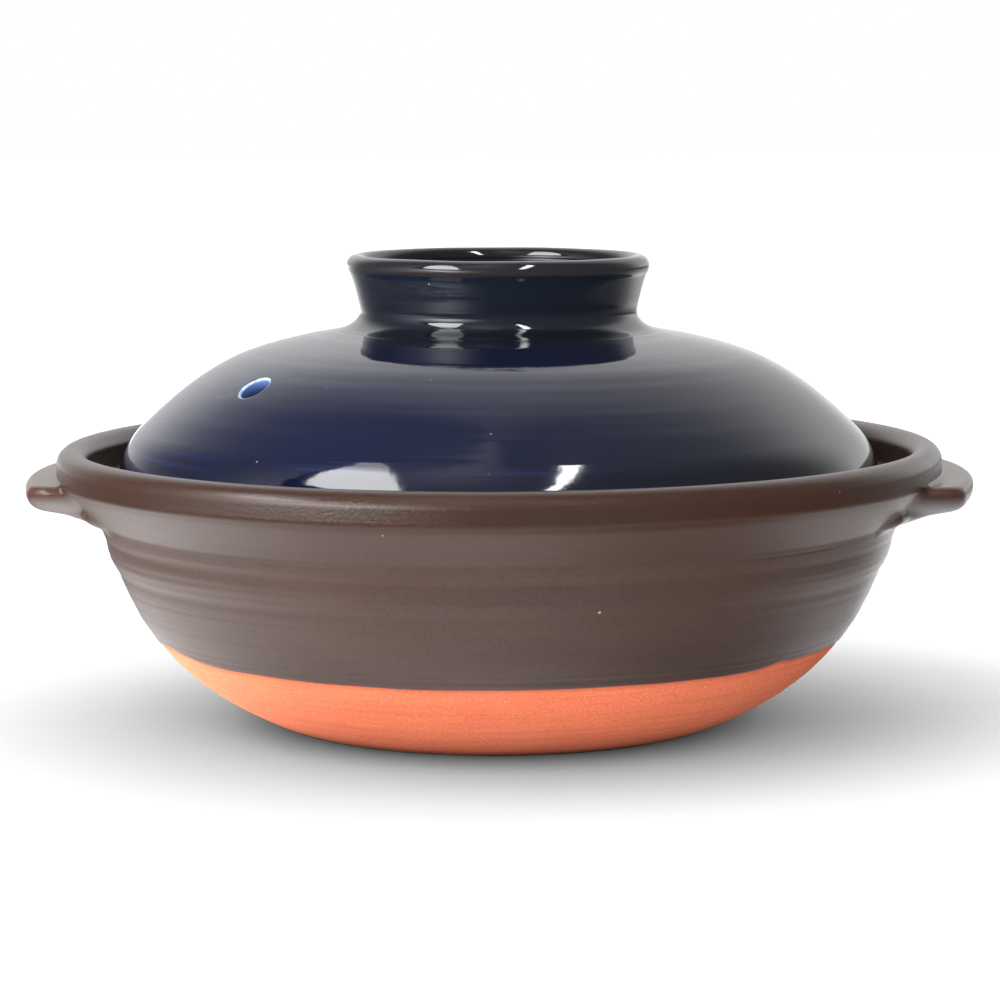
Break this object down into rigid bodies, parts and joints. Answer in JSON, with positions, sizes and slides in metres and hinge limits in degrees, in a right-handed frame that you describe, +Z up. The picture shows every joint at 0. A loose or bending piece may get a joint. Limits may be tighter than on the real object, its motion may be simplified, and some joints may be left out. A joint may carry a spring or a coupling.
{
  "type": "donabe clay pot",
  "caption": "Round stoneware cooking pot with side lug handles, a flared lip with an inner ledge, and a loose domed lid with a hollow ring knob and a steam vent.",
  "frame": {"origin": "centre of the flat base, on the surface that the pot stands on", "axes": "+Z up along the turning axis of the bowl and the lid; X runs through the two handles; the front, with the vent to its left, faces -Y"},
  "size_m": [0.29, 0.27, 0.1425],
  "materials": {
    "brown_glaze": "satin chocolate-brown glaze over stoneware, bare orange clay below the glaze line",
    "navy_glaze": "high-gloss deep navy glaze that breaks brown on the edges"
  },
  "bodies": {
    "pot": {"pot_body": "brown_glaze", "left_handle": "brown_glaze", "right_handle": "brown_glaze"},
    "lid": {"lid_dome": "navy_glaze", "lid_knob": "navy_glaze"}
  },
  "joints": [
    {"name": "lid_lift", "type": "slide", "parent": "pot", "child": "lid", "axis": [0, 0, 1], "range_m": [0, 0.12]}
  ]
}
